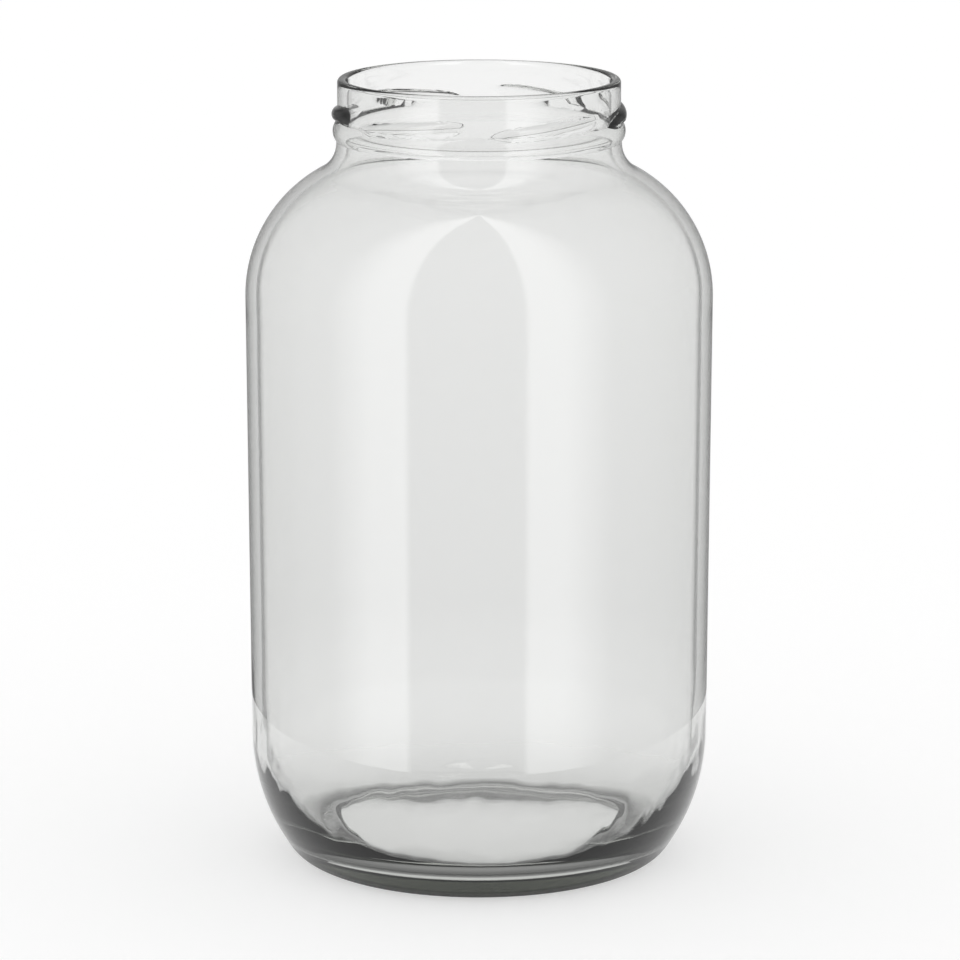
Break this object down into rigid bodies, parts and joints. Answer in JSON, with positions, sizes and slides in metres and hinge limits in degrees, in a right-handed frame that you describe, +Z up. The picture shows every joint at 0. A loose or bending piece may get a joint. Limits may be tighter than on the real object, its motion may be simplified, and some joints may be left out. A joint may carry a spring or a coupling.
{
  "type": "glass food jar",
  "caption": "Large wide-mouthed clear glass jar with a twist-off finish, round shoulder, curved heel and raised bottom, empty and without its lid.",
  "frame": {"origin": "centre of the base, on the surface the jar stands on", "axes": "+Z up along the axis that the jar is turned about; +X through the middle of one lug"},
  "size_m": [0.16, 0.16, 0.272],
  "materials": {
    "clear_glass": "smooth fire-polished flint glass"
  },
  "bodies": {
    "root": {"glass_jar": "clear_glass"}
  },
  "joints": []
}
